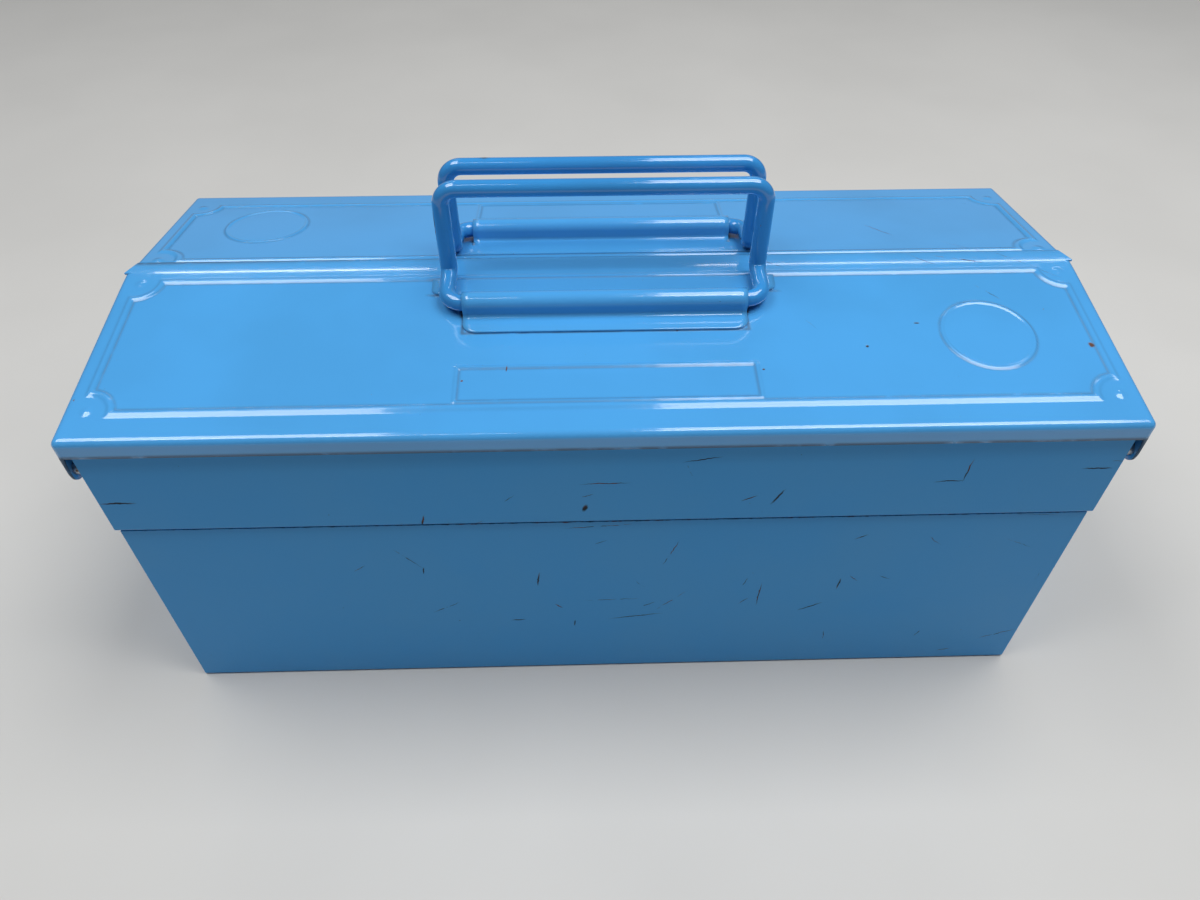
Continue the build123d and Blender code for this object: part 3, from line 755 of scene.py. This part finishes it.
class TOOLBOX_OT_lids(bpy.types.Operator):
    """Presses both lids from sheet, with their border bead, label frame, ring, skirts and ears"""

    bl_idname = "toolbox.lids"
    bl_label = "Pressed lids"

    def execute(self, context):
        scene = context.scene
        colours = scene.toolbox_colours
        finish = enamel(
            "gloss_blue_enamel_lid",
            colours.enamel,
            colours.enamel_worn,
            colours,
            shine=0.85,
            scratched=0.15,
            chipped=0.0,
            grimed_and_shaded=True,
            marks=LID_MARKS,
        )
        inner = enamel(
            "gloss_blue_enamel_inside",
            colours.enamel,
            colours.enamel_worn,
            colours,
            shine=0.6,
            scratched=0.1,
            chipped=0.0,
        )
        for half, out in HALVES:
            points, keep, u, q, crease_shade = lid_skin(half, out, scene.toolbox_lids)
            lid = surface(f"{half}_pressed_lid", points, keep=keep)
            # the attribute holds dirt and painted shade
            layer = lid.data.attributes.new("grime_and_shade", "FLOAT", "POINT")
            dirt_and_shade = lid_grime_and_shade(half, out, u, q, points[..., 2], scene.toolbox_lids, scene.toolbox_clips)
            # painted shade at the beads' feet is added at 0.4
            layer.data.foreach_set("value", np.maximum(dirt_and_shade, 0.4 * crease_shade).ravel())
            thicken(lid, scene.toolbox_lids.sheet, inside=1)
            finish_piece(lid, finish, f"{half}_lid", "blue_enamel", f"{half}_lid")
            lid.data.materials.append(inner)
        return {"FINISHED"}


class TOOLBOX_OT_clips(bpy.types.Operator):
    """Bends the two sheet clips that hold the handles' lower bars"""

    bl_idname = "toolbox.clips"
    bl_label = "Handle clips"

    def execute(self, context):
        scene = context.scene
        colours = scene.toolbox_colours
        finish = enamel(
            "gloss_blue_enamel_clip",
            colours.enamel,
            colours.enamel_worn,
            colours,
            shine=0.85,
            scratched=0.2,
            chipped=0.0,
        )
        for half, out in HALVES:
            points = clip_skin(half, out, scene.toolbox_clips, scene.toolbox_handles, scene.toolbox_lids)
            clip = surface(f"{half}_bent_clip", points)
            thicken(clip, scene.toolbox_clips.sheet)
            finish_piece(clip, finish, f"{half}_lid", "blue_enamel", f"{half}_handle_clip")
        return {"FINISHED"}


class TOOLBOX_OT_handles(bpy.types.Operator):
    """Bends the two rod handles, each with sharp kinks where its feet turn upright"""

    bl_idname = "toolbox.handles"
    bl_label = "Rod handles"

    def execute(self, context):
        scene = context.scene
        colours = scene.toolbox_colours
        finish = enamel(
            "gloss_blue_enamel_rod",
            colours.handle,
            colours.handle_worn,
            colours,
            shine=0.9,
            scratched=0.4,
            chipped=0.03,
            marks=ROD_MARKS_AND_KINK_SHADE,
        )
        for half, out in HALVES:
            handle = surface(
                f"{half}_rod_handle",
                rod_loop(half, out, scene.toolbox_handles, scene.toolbox_lids),
                wrap_rows=True,
                wrap_columns=True,
            )
            finish_piece(handle, finish, f"{half}_handle", "handle_enamel", f"{half}_handle")
        return {"FINISHED"}


class TOOLBOX_OT_shells(bpy.types.Operator):
    """Enamels the base, the trays and their end plates"""

    bl_idname = "toolbox.shells"
    bl_label = "Base and trays"

    def execute(self, context):
        colours = context.scene.toolbox_colours
        finish = enamel(
            "dulled_blue_enamel_wall",
            colours.wall,
            colours.enamel_worn,
            colours,
            shine=0.0,
            scratched=0.3,
            chipped=0.01,
            marks=WALL_MARKS_AND_SEAM_SHADE,
        )
        names = [name for name in NODES if name.endswith("_pan") or "_end_" in name]
        dress(names, finish)
        return {"FINISHED"}


class TOOLBOX_OT_linkage(bpy.types.Operator):
    """Enamels the arms, cranks, links and spacers, which are worn where they rub"""

    bl_idname = "toolbox.linkage"
    bl_label = "Arms and links"

    def execute(self, context):
        colours = context.scene.toolbox_colours
        finish = enamel(
            "rubbed_blue_enamel_arm",
            colours.handle,
            colours.handle_worn,
            colours,
            shine=0.2,
            scratched=1.0,
            chipped=0.1,
        )
        names = [name for name in NODES if "_arm_" in name or "_link_" in name and "rivets" not in name]
        dress(names + ["base_spacers"], finish)
        return {"FINISHED"}


class TOOLBOX_OT_rivets(bpy.types.Operator):
    """Plates every rivet"""

    bl_idname = "toolbox.rivets"
    bl_label = "Rivets"

    def execute(self, context):
        names = [name for name in NODES if name.endswith("rivets")]
        dress(names, zinc_plate(context.scene.toolbox_colours))
        return {"FINISHED"}


def lamp(name, place, direction, size, watts):
    """A rectangular area light at place that shines along direction, all in metres."""
    light = bpy.data.lights.new(name, "AREA")
    light.shape = "RECTANGLE"
    light.size, light.size_y = size
    light.energy = watts
    made = bpy.data.objects.new(name, light)
    bpy.context.scene.collection.objects.link(made)
    made.location = place
    made.visible_camera = False
    made.rotation_euler = Vector(direction).to_track_quat("-Z", "Y").to_euler()


class TOOLBOX_OT_stage(bpy.types.Operator):
    """Lays the pale floor, hangs the soft lights and places the camera"""

    bl_idname = "toolbox.stage"
    bl_label = "Floor, lights and camera"

    def execute(self, context):
        scene = context.scene
        stage = scene.toolbox_stage
        span = np.linspace(-FLOOR_HALF, FLOOR_HALF, 3)
        grid = np.stack([*np.meshgrid(span, -span), np.zeros((3, 3))], axis=-1)
        floor = surface("pale_floor", grid)
        made, shader, place, add = material("matt_pale_floor")
        pale = scene.toolbox_colours.floor
        shade = tuple(value * 0.93 for value in pale)
        tone = {6: rgba(pale), 7: rgba(shade)}
        connect(
            shader,
            Base_Color=add("Mix", patches(add, place, 180, 0.2, 0.8), inputs=tone, out=2, data_type="RGBA"),
        )
        shader.inputs["Roughness"].default_value = 0.8
        floor.data.materials.append(made)

        world = bpy.data.worlds.new("soft_daylight")
        world.use_nodes = True
        sky = world.node_tree.nodes["Background"]
        sky.inputs["Color"].default_value = rgba(scene.toolbox_colours.sky)
        seen = node(world.node_tree, "LightPath", out="Is Camera Ray")
        strength = node(world.node_tree, "MapRange", seen, 0, 1, stage.sky, stage.backdrop)
        world.node_tree.links.new(strength, sky.inputs["Strength"])
        scene.world = world
        scene.view_settings.view_transform = "Standard"

        down = (0, 0, -1)
        lamp("left_panel", (-0.66, 0.0, 1.35), down, (0.62, 0.95), stage.left_panel)
        lamp("right_panel", (0.55, 0.0, 1.35), down, (0.85, 0.95), stage.right_panel)
        behind = (0, -1.5, -1.3)
        lamp("left_tube", (-0.75, 1.5, LAMP_Z), behind, (0.7, 0.035), stage.tubes)
        lamp("right_tube", (0.85, 1.5, LAMP_Z), behind, (1.1, 0.035), stage.tubes)
        for name, middle, long in (("left", -0.77, 0.27), ("mid", -0.31, 0.37), ("right", 0.55, 0.9)):
            lamp(f"{name}_line", (middle, -0.31, LAMP_Z), down, (long, 0.03), stage.lines * long)
        lamp("rear_wall", (0, 2.4, 0.6), (0, -1, -0.1), (3.2, 0.7), stage.rear_wall)

        camera = bpy.data.cameras.new("camera")
        camera.lens = stage.lens
        camera.sensor_width = SENSOR
        camera.clip_start = 0.01
        view = bpy.data.objects.new("camera", camera)
        scene.collection.objects.link(view)
        view.location = stage.camera_place
        view.rotation_euler = stage.camera_turn
        scene.camera = view
        return {"FINISHED"}


OPERATORS = (
    TOOLBOX_OT_lids,
    TOOLBOX_OT_clips,
    TOOLBOX_OT_handles,
    TOOLBOX_OT_shells,
    TOOLBOX_OT_linkage,
    TOOLBOX_OT_rivets,
    TOOLBOX_OT_stage,
)
GROUPS = (
    ("toolbox_lids", ToolboxLids),
    ("toolbox_clips", ToolboxClips),
    ("toolbox_handles", ToolboxHandles),
    ("toolbox_colours", ToolboxColours),
    ("toolbox_stage", ToolboxStage),
)


class TOOLBOX_PT_panel(bpy.types.Panel):
    """Lists the toolbox's pieces and their sizes"""

    bl_idname = "TOOLBOX_PT_panel"
    bl_label = "Toolbox"
    bl_space_type = "VIEW_3D"
    bl_region_type = "UI"
    bl_category = "Toolbox"

    def draw(self, context):
        for name, group in GROUPS:
            box = self.layout.box()
            for key in group.__annotations__:
                box.prop(getattr(context.scene, name), key)
        for operator in OPERATORS:
            self.layout.operator(operator.bl_idname)


def register():
    for _, group in GROUPS:
        bpy.utils.register_class(group)
    for name, group in GROUPS:
        setattr(bpy.types.Scene, name, bpy.props.PointerProperty(type=group))
    for made in (*OPERATORS, TOOLBOX_PT_panel):
        bpy.utils.register_class(made)


def unregister():
    for made in (TOOLBOX_PT_panel, *reversed(OPERATORS)):
        bpy.utils.unregister_class(made)
    for name, group in reversed(GROUPS):
        delattr(bpy.types.Scene, name)
        bpy.utils.unregister_class(group)


def main():
    register()
    for operator in OPERATORS:
        area, name = operator.bl_idname.split(".")
        getattr(getattr(bpy.ops, area), name)()


if __name__ == "__main__":
    main()
